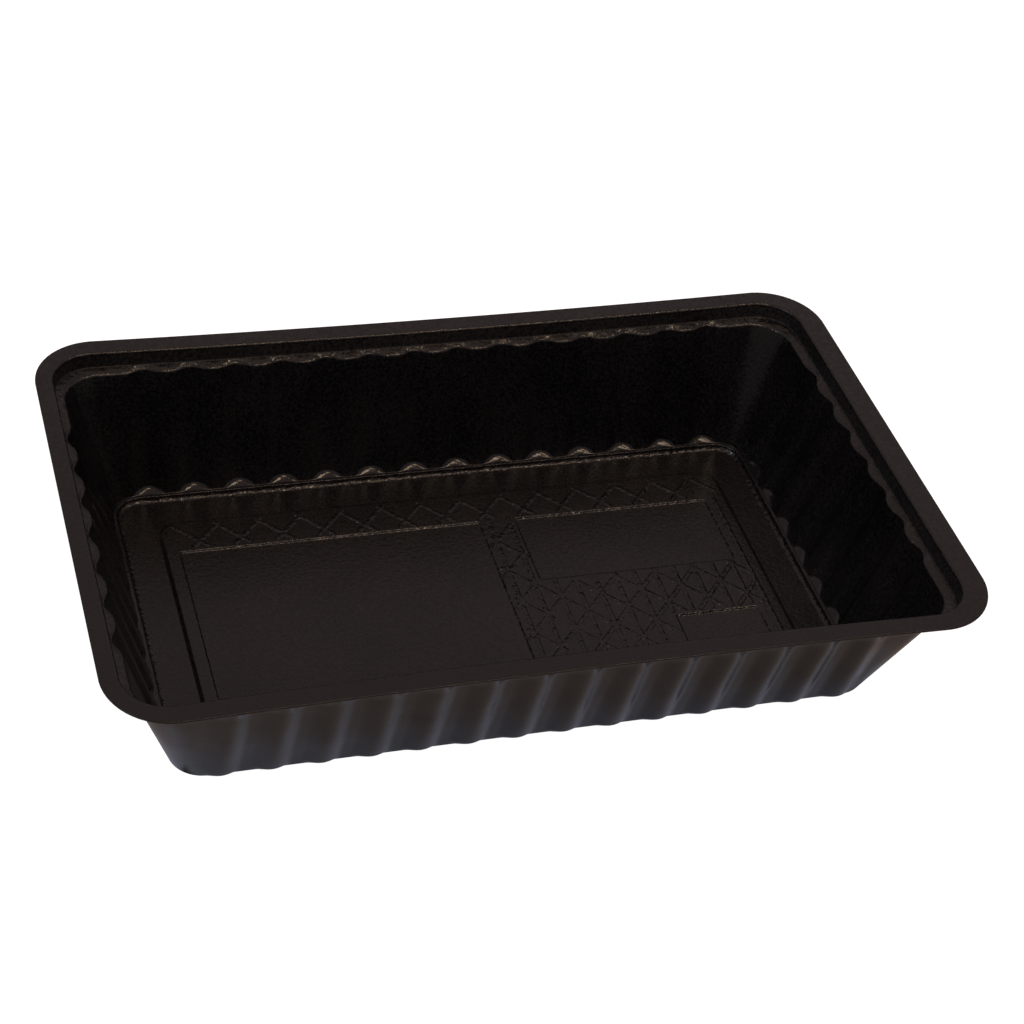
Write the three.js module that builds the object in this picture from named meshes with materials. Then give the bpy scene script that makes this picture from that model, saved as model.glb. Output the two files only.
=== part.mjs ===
// Shallow rectangular snack tray, thermoformed from one thin black plastic sheet.
//
// The whole tray is a single closed shell. It is drawn as a stack of rings: each ring is a
// rounded rectangle at one height, and neighbouring rings are stitched together with triangles.
// The rings run from the cut edge of the rim, across the upper (food) face to the middle of
// the floor, and then back along the lower face, one sheet thickness away.
//
// Frame: millimetres, +Z up, +X along the long side. The origin is the middle of the footprint,
// on the surface that the tray stands on.

import * as THREE from 'three';

// ---------------------------------------------------------------------------------------------
// Driving dimensions
// ---------------------------------------------------------------------------------------------

const LENGTH = 175; // over the rim
const WIDTH = 112; // over the rim, if its long sides ran straight into the corners
const HEIGHT = 32.5; // from the table to the top of the rim
const SHEET = 0.5; // sheet thickness

const RIM_WIDTH = 3.9; // flat top of the rim
const RIM_CORNER = 13.5; // corner radius of the cut edge
const RIM_ROUND = 0.6; // rounding from the rim down into the tray
const TRIM_SHIFT = 0.8; // the rim is cut this far off the middle of the cavity, towards +X

const STEP_DEPTH = 3.5; // from the rim down to the stacking ledge
const STEP_LEAN = 0.2; // how far the step leans in on its way down
const LEDGE_FILLET = 0.4; // at the foot of the step, on the upper face
const UNDER_FILLET = 0.6; // the same fillet on the lower face
const LEDGE_END = 6.4; // inset of the ledge's inner edge
const LEDGE_FALL = 0.5; // the ledge slopes down by this much to that edge
const LEDGE_CORNER = 7.8; // corner radius there
const LEDGE_ROUND_IN = 0.45; // rounding from the ledge into the wall, level
const LEDGE_ROUND_DOWN = 0.46; // and upright

const SHELF_INSET = 15.6; // foot of the fluted wall, where a narrow level shelf starts
const SHELF_HEIGHT = 1.2; // of the shelf above the floor
const FLOOR_INSET = 16.2; // inner edge of the shelf
const FLOOR_CORNER = 5.5; // corner radius there
const FLOOR_FILLET = 1.0; // fillet between the plinth under the shelf and the floor
const PLINTH_LEAN = 0.1;

const LONG_FLUTES = 14;
const LONG_PITCH = 9.75;
const SHORT_FLUTES = 7;
const SHORT_PITCH = 9.75;
const FLUTE_DEPTH_TOP = 1.25; // how far a flute bulges outwards under the ledge
const FLUTE_DEPTH_FOOT = 1.4; // and at its rounded foot
const FLUTE_FOOT = 1.3; // height of that rounded foot
const FLUTE_FOOT_SWEEP = THREE.MathUtils.degToRad(37); // arc of an ellipse that shapes it
const FLUTE_POWER_TOP = 1.5; // of the wave across a flute: above 1, a flute is a narrow round groove
const FLUTE_POWER_FOOT = 0.75; // below 1, it is broad and full
const FLUTE_LAND = 0.22; // share of the wave that is plain wall between two flutes' feet

const RIM_BOW = 1.5; // the long sides bend in by this much at the middle of the rim

const PANEL_RISE = 0.7; // raised panel of the floor, with sides at 45 degrees
const PANEL_BORDER = 24.1; // inset of the panel's foot
const PANEL_CORNER = 4;

const FLUTE_STEPS = 8; // facets across one flute
const BOW_STEPS = 8; // facets along a plain long side
const SHORT_SIDE_STEPS = 2; // and along a plain short side
const CORNER_STEPS = 8; // facets round a corner
const FOOT_STEPS = 3; // facets down a flute's rounded foot

// ---------------------------------------------------------------------------------------------
// Rings
// ---------------------------------------------------------------------------------------------

// A place on a ring is a number from 0 to 4. Its whole part is the side (near, right, far,
// left), and its fraction runs along the flutes of that side and then round the next corner.
const SIDE_SHARE = 0.9;
const ROUNDING_SLACK = 1e-9;

const SIDES = [
  { flutes: LONG_FLUTES, row: LONG_FLUTES * LONG_PITCH, steps: BOW_STEPS },
  { flutes: SHORT_FLUTES, row: SHORT_FLUTES * SHORT_PITCH, steps: SHORT_SIDE_STEPS },
  { flutes: LONG_FLUTES, row: LONG_FLUTES * LONG_PITCH, steps: BOW_STEPS },
  { flutes: SHORT_FLUTES, row: SHORT_FLUTES * SHORT_PITCH, steps: SHORT_SIDE_STEPS },
];

/** Places on a ring: the ends of the facets of each side, then those of each corner. */
function places(stepsOnSide) {
  const result = [];
  SIDES.forEach((side, index) => {
    const steps = stepsOnSide(side);
    for (let i = 0; i <= steps; i += 1) {
      result.push(index + (SIDE_SHARE * i) / steps);
    }
    for (let i = 0; i < CORNER_STEPS; i += 1) {
      result.push(index + SIDE_SHARE + ((1 - SIDE_SHARE) * (i + 0.5)) / CORNER_STEPS);
    }
  });
  return result;
}

const PLAIN_PLACES = places((side) => side.steps);
const FLUTED_PLACES = places((side) => side.flutes * FLUTE_STEPS);

/**
 * Outline of the flutes, from 0 on the wall between them to 1 on a crest. The outline changes
 * from the ledge, where foot is 0, to the foot of the wall, where foot is 1.
 */
function fluteLobe(flutes, foot) {
  const wave = (1 - Math.cos(2 * Math.PI * flutes)) / 2;
  const atFoot = (Math.max(wave - FLUTE_LAND, 0) / (1 - FLUTE_LAND)) ** FLUTE_POWER_FOOT;
  return THREE.MathUtils.lerp(wave ** FLUTE_POWER_TOP, atFoot, foot);
}

/** Half the length of a side's flute row, cut short on rings that are smaller than the row. */
function halfRow(side, along, radius) {
  return Math.min(side.row / 2, along - radius / 2);
}

/** Angle at which a corner arc meets the end of the flute row, or 0 where the row ends short. */
function arcTrim(side, along, radius) {
  const reach = halfRow(side, along, radius) - (along - radius);
  return reach > 0 ? Math.asin(reach / radius) : 0;
}

/**
 * The point of a rounded rectangle at one place, before the long sides are bent in.
 * The rectangle is turned so that the side lies at the bottom, then turned back. The function
 * lobeAt says how far the side bulges out, from how far along its row of flutes a place is.
 */
function rectanglePoint(place, halfX, halfY, radius, lobeAt) {
  const index = Math.floor(place) % 4;
  const fraction = place - Math.floor(place);
  const along = index % 2 === 0 ? halfX : halfY;
  const out = index % 2 === 0 ? halfY : halfX;
  const side = SIDES[index];
  const next = SIDES[(index + 1) % 4];
  const point = new THREE.Vector2();

  if (fraction <= SIDE_SHARE + ROUNDING_SLACK) {
    const share = Math.min(fraction / SIDE_SHARE, 1);
    const x = (2 * share - 1) * halfRow(side, along, radius);
    const overArc = Math.max(Math.abs(x) - (along - radius), 0);
    const edge = out - radius + Math.sqrt(radius ** 2 - overArc ** 2);
    point.set(x, -edge - lobeAt(share * side.flutes));
  } else {
    const share = (fraction - SIDE_SHARE) / (1 - SIDE_SHARE);
    const start = arcTrim(side, along, radius);
    const end = Math.PI / 2 - arcTrim(next, out, radius);
    const angle = THREE.MathUtils.lerp(start, end, share);
    point.set(along - radius + radius * Math.sin(angle), radius - out - radius * Math.cos(angle));
  }
  return point.rotateAround(new THREE.Vector2(), (index * Math.PI) / 2);
}

/**
 * One ring of the shell. Its inset is measured from the cut edge of the rim; bow is how far
 * the middle of each long side bends in; fluteDepth is how far the flutes bulge out, and
 * fluteFoot picks their outline. Only the cut edge itself is centred on the origin.
 */
function makeRing({ inset, z, radius, bow = 0, fluteDepth = 0, fluteFoot = 0 }) {
  const list = fluteDepth > 0 ? FLUTED_PLACES : PLAIN_PLACES;
  const halfX = LENGTH / 2 - inset;
  const halfY = WIDTH / 2 - inset;
  const centreX = inset > 0 ? -TRIM_SHIFT : 0;
  const lobeAt = (flutes) => fluteDepth * fluteLobe(flutes, fluteFoot);
  const points = list.map((place) => {
    const point = rectanglePoint(place, halfX, halfY, radius, lobeAt);
    const middle = Math.max(1 - (point.x / halfX) ** 2, 0);
    return new THREE.Vector3(centreX + point.x, point.y * (1 - (bow / halfY) * middle), z);
  });
  return { list, points };
}

// ---------------------------------------------------------------------------------------------
// Profile of the sheet, from the cut edge down to the middle of the floor
// ---------------------------------------------------------------------------------------------

const LEDGE_Z = HEIGHT - STEP_DEPTH;
const LEDGE_EDGE_Z = LEDGE_Z - LEDGE_FALL;
const WALL_TOP = { inset: LEDGE_END + LEDGE_ROUND_IN, z: LEDGE_EDGE_Z - LEDGE_ROUND_DOWN };
const SHELF_Z = SHEET + SHELF_HEIGHT;
const FLUTE_FOOT_Z = SHELF_Z + FLUTE_FOOT;
const LEAN = (SHELF_INSET - WALL_TOP.inset) / (WALL_TOP.z - SHELF_Z);
const WALL_SHEET = SHEET * Math.hypot(1, LEAN); // the sheet measured level, across the wall
const WALL_DROP = SHEET * Math.sin(Math.atan(LEAN)); // how much lower the lower face starts
const PANEL_SHIFT = SHEET * Math.tan(Math.PI / 8); // between the two faces of a 45 degree side

/** The long sides straighten out from the rim down to the foot of the wall. */
function bowAt(z) {
  return RIM_BOW * THREE.MathUtils.clamp((z - SHELF_Z) / (HEIGHT - SHELF_Z), 0, 1);
}

/** Inset and corner radius of the wall between two flutes. */
function wallAt(z) {
  const share = (WALL_TOP.z - z) / (WALL_TOP.z - SHELF_Z);
  return {
    inset: THREE.MathUtils.lerp(WALL_TOP.inset, SHELF_INSET, share),
    z,
    radius: THREE.MathUtils.lerp(LEDGE_CORNER, FLOOR_CORNER + FLOOR_INSET - SHELF_INSET, share),
    bow: bowAt(z),
  };
}

/** Rim, step and stacking ledge, on the upper face. */
function upperRimRings() {
  const inner = RIM_WIDTH + RIM_ROUND;
  const stepFoot = inner + STEP_LEAN;
  const half = Math.SQRT1_2;
  const profile = [
    [0, HEIGHT, RIM_CORNER],
    [RIM_WIDTH, HEIGHT, RIM_CORNER - RIM_WIDTH],
    [RIM_WIDTH + RIM_ROUND * half, HEIGHT - RIM_ROUND * (1 - half), RIM_CORNER - RIM_WIDTH],
    [inner, HEIGHT - RIM_ROUND, RIM_CORNER - inner],
    [stepFoot, LEDGE_Z + LEDGE_FILLET, RIM_CORNER - stepFoot],
    [stepFoot + LEDGE_FILLET * (1 - half), LEDGE_Z + LEDGE_FILLET * (1 - half), RIM_CORNER - stepFoot],
    [stepFoot + LEDGE_FILLET, LEDGE_Z, RIM_CORNER - stepFoot],
  ];
  const rings = profile.map(([inset, z, radius]) => ({ inset, z, radius, bow: bowAt(z) }));
  const edge = [
    [LEDGE_END, LEDGE_EDGE_Z],
    [LEDGE_END + LEDGE_ROUND_IN * half, LEDGE_EDGE_Z - LEDGE_ROUND_DOWN * (1 - half)],
  ];
  edge.forEach(([inset, z]) => {
    rings.push({ inset, z, radius: LEDGE_CORNER, bow: bowAt(z), fluteDepth: FLUTE_DEPTH_TOP });
  });
  return rings;
}

/** Rim, step and stacking ledge, on the lower face. */
function lowerRimRings() {
  const stepHead = RIM_WIDTH + RIM_ROUND - SHEET;
  const stepFoot = stepHead + STEP_LEAN;
  const half = Math.SQRT1_2;
  const under = LEDGE_Z - SHEET;
  const profile = [
    [0, HEIGHT - SHEET, RIM_CORNER],
    [stepHead, HEIGHT - SHEET, RIM_CORNER - stepHead],
    [stepFoot, under + UNDER_FILLET, RIM_CORNER - stepFoot],
    [stepFoot + UNDER_FILLET * (1 - half), under + UNDER_FILLET * (1 - half), RIM_CORNER - stepFoot],
    [stepFoot + UNDER_FILLET, under, RIM_CORNER - stepFoot],
  ];
  return profile.map(([inset, z, radius]) => ({ inset, z, radius, bow: bowAt(z) }));
}

/**
 * The fluted wall, from the ledge down to the shelf. Each flute ends in a rounded foot: its
 * depth falls to nothing along an arc of an ellipse.
 */
function wallRings(topZ, footHeight, shift) {
  const rings = [{ ...wallAt(topZ), fluteDepth: FLUTE_DEPTH_TOP }];
  const end = Math.cos(FLUTE_FOOT_SWEEP);
  for (let i = 0; i < FOOT_STEPS; i += 1) {
    const angle = (FLUTE_FOOT_SWEEP * i) / FOOT_STEPS;
    const z = FLUTE_FOOT_Z - (footHeight * Math.sin(angle)) / Math.sin(FLUTE_FOOT_SWEEP);
    const depth = (FLUTE_DEPTH_FOOT * (Math.cos(angle) - end)) / (1 - end);
    rings.push({ ...wallAt(z), fluteDepth: depth, fluteFoot: 1 });
  }
  rings.push(wallAt(FLUTE_FOOT_Z - footHeight));
  return rings.map((ring) => ({ ...ring, inset: ring.inset - shift, radius: ring.radius + shift }));
}

/** Edge of the shelf, fillet into the floor, border of the floor and raised panel, on either face. */
function floorRings(floorZ, shift) {
  const edge = FLOOR_INSET - shift;
  const rings = [{ inset: edge, z: floorZ + SHELF_HEIGHT, radius: FLOOR_CORNER + shift }];
  for (const angle of [0, Math.PI / 6, Math.PI / 3, Math.PI / 2]) {
    const inward = FLOOR_FILLET * (1 - Math.cos(angle));
    rings.push({
      inset: edge + PLINTH_LEAN + inward,
      z: floorZ + FLOOR_FILLET * (1 - Math.sin(angle)),
      radius: FLOOR_CORNER + shift - inward,
    });
  }
  const foot = PANEL_BORDER + (shift > 0 ? PANEL_SHIFT : 0);
  rings.push({ inset: foot, z: floorZ, radius: PANEL_CORNER + PANEL_RISE });
  rings.push({ inset: foot + PANEL_RISE, z: floorZ + PANEL_RISE, radius: PANEL_CORNER });
  return rings;
}

// ---------------------------------------------------------------------------------------------
// Shell
// ---------------------------------------------------------------------------------------------

/** Collects rings of vertices and stitches them into one indexed mesh. */
class Shell {
  constructor() {
    this.positions = [];
    this.indices = [];
  }

  addRing(section) {
    const ring = makeRing(section);
    const first = this.positions.length / 3;
    ring.points.forEach((point) => this.positions.push(point.x, point.y, point.z));
    return { list: ring.list, first };
  }

  /** Two rings may have different numbers of points: they are met in the order of their places. */
  stitch(a, b) {
    let i = 0;
    let j = 0;
    while (i < a.list.length || j < b.list.length) {
      const nextA = i < a.list.length ? placeAfter(a.list, i) : Infinity;
      const nextB = j < b.list.length ? placeAfter(b.list, j) : Infinity;
      const pointA = a.first + (i % a.list.length);
      const pointB = b.first + (j % b.list.length);
      if (nextA <= nextB) {
        i += 1;
        this.indices.push(pointA, a.first + (i % a.list.length), pointB);
      } else {
        j += 1;
        this.indices.push(pointA, b.first + (j % b.list.length), pointB);
      }
    }
  }

  /** A flat lid over a convex ring. */
  cap(ring, facingUp) {
    for (let i = 1; i < ring.list.length - 1; i += 1) {
      const corners = [ring.first, ring.first + i, ring.first + i + 1];
      this.indices.push(...(facingUp ? corners : corners.reverse()));
    }
  }

  geometry() {
    const geometry = new THREE.BufferGeometry();
    geometry.setAttribute('position', new THREE.Float32BufferAttribute(this.positions, 3));
    geometry.setIndex(this.indices);
    geometry.computeVertexNormals();
    return geometry;
  }
}

function placeAfter(list, index) {
  return index + 1 < list.length ? list[index + 1] : list[0] + 4;
}

function makeTrayGeometry() {
  const upper = [
    ...upperRimRings(),
    ...wallRings(WALL_TOP.z, FLUTE_FOOT, 0),
    ...floorRings(SHEET, 0),
  ];
  const lower = [
    ...lowerRimRings(),
    ...wallRings(WALL_TOP.z - WALL_DROP, FLUTE_FOOT + SHEET, WALL_SHEET),
    ...floorRings(0, SHEET),
  ];

  const shell = new Shell();
  const upperRings = upper.map((section) => shell.addRing(section));
  const lowerRings = lower.map((section) => shell.addRing(section));
  for (let i = 0; i + 1 < upperRings.length; i += 1) {
    shell.stitch(upperRings[i], upperRings[i + 1]);
  }
  for (let i = 0; i + 1 < lowerRings.length; i += 1) {
    shell.stitch(lowerRings[i + 1], lowerRings[i]);
  }
  shell.stitch(lowerRings[0], upperRings[0]);
  shell.cap(upperRings.at(-1), true);
  shell.cap(lowerRings.at(-1), false);
  return shell.geometry();
}

// ---------------------------------------------------------------------------------------------
// Scene graph
// ---------------------------------------------------------------------------------------------

const blackPlastic = new THREE.MeshStandardMaterial({
  color: 0x231d1c,
  roughness: 0.35,
  metalness: 0,
});

const tray = new THREE.Mesh(makeTrayGeometry(), blackPlastic);
tray.name = 'tray';

const model = new THREE.Group();
model.add(tray);

export default model;
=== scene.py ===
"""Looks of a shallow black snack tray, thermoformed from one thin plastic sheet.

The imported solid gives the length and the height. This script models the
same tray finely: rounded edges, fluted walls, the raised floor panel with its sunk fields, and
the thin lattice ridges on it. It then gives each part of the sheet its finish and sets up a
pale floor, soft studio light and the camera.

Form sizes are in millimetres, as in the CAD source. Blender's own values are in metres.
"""

import logging
import math
from dataclasses import dataclass, field
from enum import Enum

import bpy
import numpy as np
from mathutils import Matrix, Vector, geometry


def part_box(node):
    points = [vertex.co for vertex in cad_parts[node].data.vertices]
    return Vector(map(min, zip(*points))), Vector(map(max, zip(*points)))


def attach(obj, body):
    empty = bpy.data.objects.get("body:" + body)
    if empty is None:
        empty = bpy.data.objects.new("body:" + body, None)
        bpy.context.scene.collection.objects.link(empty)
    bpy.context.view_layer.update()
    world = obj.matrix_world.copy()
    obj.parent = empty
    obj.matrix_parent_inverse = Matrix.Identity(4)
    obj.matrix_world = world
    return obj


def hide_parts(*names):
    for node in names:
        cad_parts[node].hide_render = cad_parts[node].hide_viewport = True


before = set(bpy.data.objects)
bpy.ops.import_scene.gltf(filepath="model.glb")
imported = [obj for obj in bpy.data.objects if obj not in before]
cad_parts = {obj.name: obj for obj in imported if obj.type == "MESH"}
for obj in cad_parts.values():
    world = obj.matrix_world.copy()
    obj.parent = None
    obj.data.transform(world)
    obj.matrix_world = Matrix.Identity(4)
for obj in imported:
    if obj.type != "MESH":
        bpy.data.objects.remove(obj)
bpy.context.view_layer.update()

LOG = logging.getLogger("tray")
MM = 0.001
CAD_NODE = "tray"
BODY = "root"
SLACK_MM = 0.01
WHITE = (1.0, 1.0, 1.0, 1.0)
Socket = bpy.types.NodeSocket
Colour = tuple[float, float, float]


# ------------------------------------------------------------------------------------------
# Driving sizes
# ------------------------------------------------------------------------------------------


@dataclass(frozen=True)
class TrayForm:
    """The tray's driving sizes in millimetres. Insets are measured from the cut edge."""

    length: float
    height: float
    width: float = 111.95
    sheet: float = 0.5
    cut_round: float = 0.15
    rim_width: float = 3.9
    rim_corner: float = 13.5
    rim_round: float = 0.6
    rim_bow: float = 1.5
    trim_shift: float = 0.8
    step_depth: float = 3.5
    step_lean: float = 0.2
    ledge_fillet: float = 0.4
    under_fillet: float = 0.6
    ledge_end: float = 6.4
    ledge_fall: float = 0.5
    ledge_corner: float = 7.8
    ledge_round: tuple[float, float] = (0.45, 0.46)
    shelf_inset: float = 15.6
    shelf_height: float = 1.2
    floor_inset: float = 16.2
    floor_corner: float = 5.5
    floor_fillet: float = 1.0
    plinth_lean: float = 0.1
    panel_rise: float = 0.7
    panel_inset: float = 24.1
    panel_corner: float = 4.0

    @property
    def ledge_z(self) -> float:
        """Height of the stacking ledge."""
        return self.height - self.step_depth

    @property
    def ledge_edge_z(self) -> float:
        """Height of the ledge's sloping inner edge."""
        return self.ledge_z - self.ledge_fall

    @property
    def shelf_z(self) -> float:
        """Height of the narrow shelf at the foot of the wall, on the food side."""
        return self.sheet + self.shelf_height

    @property
    def panel_z(self) -> float:
        """Height of the raised panel's upper face."""
        return self.sheet + self.panel_rise

    @property
    def wall_top(self) -> tuple[float, float]:
        """Inset and height of the wall's upper end."""
        level, down = self.ledge_round
        return self.ledge_end + level, self.ledge_edge_z - down

    @property
    def lean(self) -> float:
        """How far the wall goes in for each millimetre that it goes down."""
        inset, z = self.wall_top
        return (self.shelf_inset - inset) / (z - self.shelf_z)

    @property
    def wall_shift(self) -> tuple[float, float]:
        """How far the wall's lower face lies outside its upper one, and how much lower it starts."""
        return self.sheet * math.hypot(1, self.lean), self.sheet * math.sin(math.atan(self.lean))

    @property
    def slope_offset(self) -> float:
        """How far a bend of 45 degrees lies further out on the sheet's lower face."""
        return self.sheet * math.tan(math.pi / 8)

    def bow_at(self, z: float) -> float:
        """How far the middle of a long side bends in at a height.

        Args:
            z: Height above the table.

        Returns:
            The bend, which fades out down to the shelf.
        """
        share = (z - self.shelf_z) / (self.height - self.shelf_z)
        return self.rim_bow * min(max(share, 0.0), 1.0)


@dataclass(frozen=True)
class FluteForm:
    """The rows of upright flutes in the walls, in millimetres."""

    long_count: int = 14
    short_count: int = 7
    pitch: float = 9.75
    depth_at_ledge: float = 1.25
    depth_at_foot: float = 1.4
    foot_height: float = 1.3
    foot_sweep: float = math.radians(37)
    power_at_ledge: float = 1.5
    power_at_foot: float = 0.75
    land: float = 0.22


@dataclass(frozen=True)
class Section:
    """One ring of the sheet: a rounded rectangle at one height."""

    inset: float
    z: float
    radius: float
    bow: float = 0.0
    flute: float = 0.0
    on_cut_edge: bool = False


class Face(Enum):
    """The two faces of the sheet."""

    FOOD = "food"
    UNDER = "under"


class Finish(Enum):
    """The finishes of the black sheet, with the number that a face carries."""

    RIM = 0
    STEP = 1
    EDGE = 2
    WALL = 3
    FLOOR = 4
    UNDER = 5
    RIDGE = 6


def arc(steps: int, end_deg: float = 90.0) -> list[float]:
    """Angles in radians from 0 to an end, both included.

    Args:
        steps: Number of equal steps.
        end_deg: Last angle in degrees.

    Returns:
        steps + 1 angles.
    """
    return [math.radians(end_deg) * i / steps for i in range(steps + 1)]


# ------------------------------------------------------------------------------------------
# The profile of the sheet
# ------------------------------------------------------------------------------------------


@dataclass(frozen=True)
class Profile:
    """Turns the driving sizes into the sections of the sheet, from the cut edge inwards.

    A guard is how far from a bend the flat face beside it gets a section of its own, so that
    the bend's shading stays narrow. Edges are pairs of a way inwards and a way up or down.
    """

    form: TrayForm
    flutes: FluteForm
    wall_rows: int = 6
    foot_rows: int = 9
    round_rows: int = 5
    edge_rows: int = 3
    rim_guard: float = 0.15
    ledge_guard: float = 0.06
    shelf_guard: float = 0.05
    floor_guard: float = 0.3
    crease: float = 0.03
    shelf_edge: tuple[float, float] = (0.02, 0.04)
    panel_edge: tuple[tuple[float, float], ...] = ((-0.25, 0.0), (-0.08, 0.02), (0.1, 0.12))

    def food_side(self) -> list[Section]:
        """Sections of the upper face, from the cut edge to the top of the raised panel."""
        f = self.form
        sections = self._cut_edge(f.height, 1)
        rim = f.rim_width
        sections.append(self._plain(rim - self.rim_guard, f.height))
        for a in arc(self.round_rows):
            sections.append(self._plain(rim + f.rim_round * math.sin(a),
                                        f.height - f.rim_round * (1 - math.cos(a))))
        foot = rim + f.rim_round + f.step_lean
        for a in arc(self.round_rows):
            sections.append(self._plain(foot + f.ledge_fillet * (1 - math.cos(a)),
                                        f.ledge_z + f.ledge_fillet * (1 - math.sin(a))))
        sections += self._ledge_edge()
        sections += self._wall(f.wall_top[1], self.flutes.foot_height, 0.0)
        sections += self._floor(f.sheet, 0.0)
        return sections

    def under_side(self) -> list[Section]:
        """Sections of the lower face, one sheet thickness away from the upper one."""
        f = self.form
        sections = self._cut_edge(f.height - f.sheet, -1)
        head = f.rim_width + f.rim_round - f.sheet
        sections += [self._plain(head - self.rim_guard, f.height - f.sheet),
                     self._plain(head, f.height - f.sheet - self.crease),
                     self._plain(head + self.crease, f.height - f.sheet - self.rim_guard)]
        under, fillet = f.ledge_z - f.sheet, f.under_fillet
        foot = head + f.step_lean
        for a in arc(self.round_rows):
            sections.append(self._plain(foot + fillet * (1 - math.cos(a)),
                                        under + fillet * (1 - math.sin(a))))
        shift, drop = f.wall_shift
        sections += self._wall(f.wall_top[1] - drop, self.flutes.foot_height + f.sheet, shift)
        sections += self._floor(0.0, f.sheet)
        return sections

    def _plain(self, inset: float, z: float) -> Section:
        """A section of the rim or the step, whose corner is concentric with the cut edge."""
        return Section(inset, z, self.form.rim_corner - inset, self.form.bow_at(z))

    def _cut_edge(self, z: float, up: int) -> list[Section]:
        """Half of the rounded cut edge and the outer end of the rim.

        Args:
            z: Height of the rim's face on this side of the sheet.
            up: 1 on the upper face, -1 on the lower.

        Returns:
            Sections from just past the middle of the edge, inwards.
        """
        f, r = self.form, self.form.cut_round
        sections = []
        for a in arc(self.edge_rows):
            inset, level = r * (1 - math.cos(a)), z - up * r * (1 - math.sin(a))
            sections.append(Section(inset, level, f.rim_corner - inset, f.rim_bow, 0.0, True))
        sections.append(Section(2 * r, z, f.rim_corner - 2 * r, f.rim_bow, 0.0, True))
        return sections

    def _ledge_edge(self) -> list[Section]:
        """The ledge's sloping, scalloped edge, rounded over into the wall.

        Its corner goes along a curve that is tangent to the slope of the ledge at one end and
        to the wall at the other.
        """
        f = self.form
        start = f.rim_width + f.rim_round + f.step_lean + f.ledge_fillet
        slope = f.ledge_fall / (f.ledge_end - start)
        top_inset, top_z = f.wall_top
        turn = (f.ledge_edge_z - top_z - (top_inset - f.ledge_end) / f.lean) / (slope - 1 / f.lean)
        middle = (f.ledge_end + turn, f.ledge_edge_z - slope * turn)
        sections = [self._scalloped(f.ledge_end - self.ledge_guard,
                                    f.ledge_edge_z + self.ledge_guard * slope)]
        for i in range(self.round_rows + 1):
            t = i / (self.round_rows + 1)
            first, second, third = (1 - t) ** 2, 2 * t * (1 - t), t ** 2
            sections.append(self._scalloped(first * f.ledge_end + second * middle[0] + third * top_inset,
                                            first * f.ledge_edge_z + second * middle[1] + third * top_z))
        return sections

    def _scalloped(self, inset: float, z: float) -> Section:
        """A section near the ledge's inner edge, with the flutes at full strength."""
        return Section(inset, z, self.form.ledge_corner, self.form.bow_at(z), 1.0)

    def _wall_at(self, z: float, shift: float, flute: float) -> Section:
        """The wall's section at a height, shift outside the food side."""
        f = self.form
        top_inset, top_z = f.wall_top
        share = (top_z - z) / (top_z - f.shelf_z)
        inset = top_inset + (f.shelf_inset - top_inset) * share
        foot_corner = f.floor_corner + f.floor_inset - f.shelf_inset
        radius = f.ledge_corner + (foot_corner - f.ledge_corner) * share
        return Section(inset - shift, z, radius + shift, f.bow_at(z), flute)

    def _wall(self, top: float, foot_height: float, shift: float) -> list[Section]:
        """The fluted wall and the arc of an ellipse in which every flute ends.

        Args:
            top: Height of the first section.
            foot_height: Height of the flutes' rounded feet on this face.
            shift: How far this face lies outside the food side.

        Returns:
            Sections from the top of the wall to the start of the shelf.
        """
        foot_top = self.form.shelf_z + self.flutes.foot_height
        sweep = self.flutes.foot_sweep
        sections = []
        for i in range(self.wall_rows):
            z = top + (foot_top - top) * i / self.wall_rows
            sections.append(self._wall_at(z, shift, 1.0))
        for a in arc(self.foot_rows, math.degrees(sweep)):
            z = foot_top - foot_height * math.sin(a) / math.sin(sweep)
            depth = (math.cos(a) - math.cos(sweep)) / (1 - math.cos(sweep))
            sections.append(self._wall_at(z, shift, max(depth, 0.0)))
        last = sections[-1]
        guard = self.shelf_guard
        sections.append(Section(last.inset + guard, last.z, last.radius - guard))
        return sections

    def _floor(self, floor_z: float, shift: float) -> list[Section]:
        """The shelf's edge, the fillet into the floor and the side of the raised panel."""
        f = self.form
        edge, corner = f.floor_inset - shift, f.floor_corner + shift
        shelf_z, fillet, start = floor_z + f.shelf_height, f.floor_fillet, edge + f.plinth_lean
        inward, down = self.shelf_edge
        sections = [Section(edge - self.shelf_guard, shelf_z, corner + self.shelf_guard),
                    Section(edge + inward, shelf_z - down, corner)]
        for a in arc(2 * self.round_rows):
            inward = fillet * (1 - math.cos(a))
            sections.append(Section(start + inward, floor_z + fillet * (1 - math.sin(a)),
                                    corner - inward))
        guard = self.floor_guard
        sections.append(Section(start + fillet + guard, floor_z, corner - fillet - guard))
        foot = f.panel_inset + (f.slope_offset if shift else 0.0)
        rise, corner = f.panel_rise, f.panel_corner + f.panel_rise
        head = [(rise - along, rise - up) for along, up in reversed(self.panel_edge)]
        for along, up in (*self.panel_edge, *head):
            sections.append(Section(foot + along, floor_z + up, corner - along))
        return sections


# ------------------------------------------------------------------------------------------
# Rings
# ------------------------------------------------------------------------------------------


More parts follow.
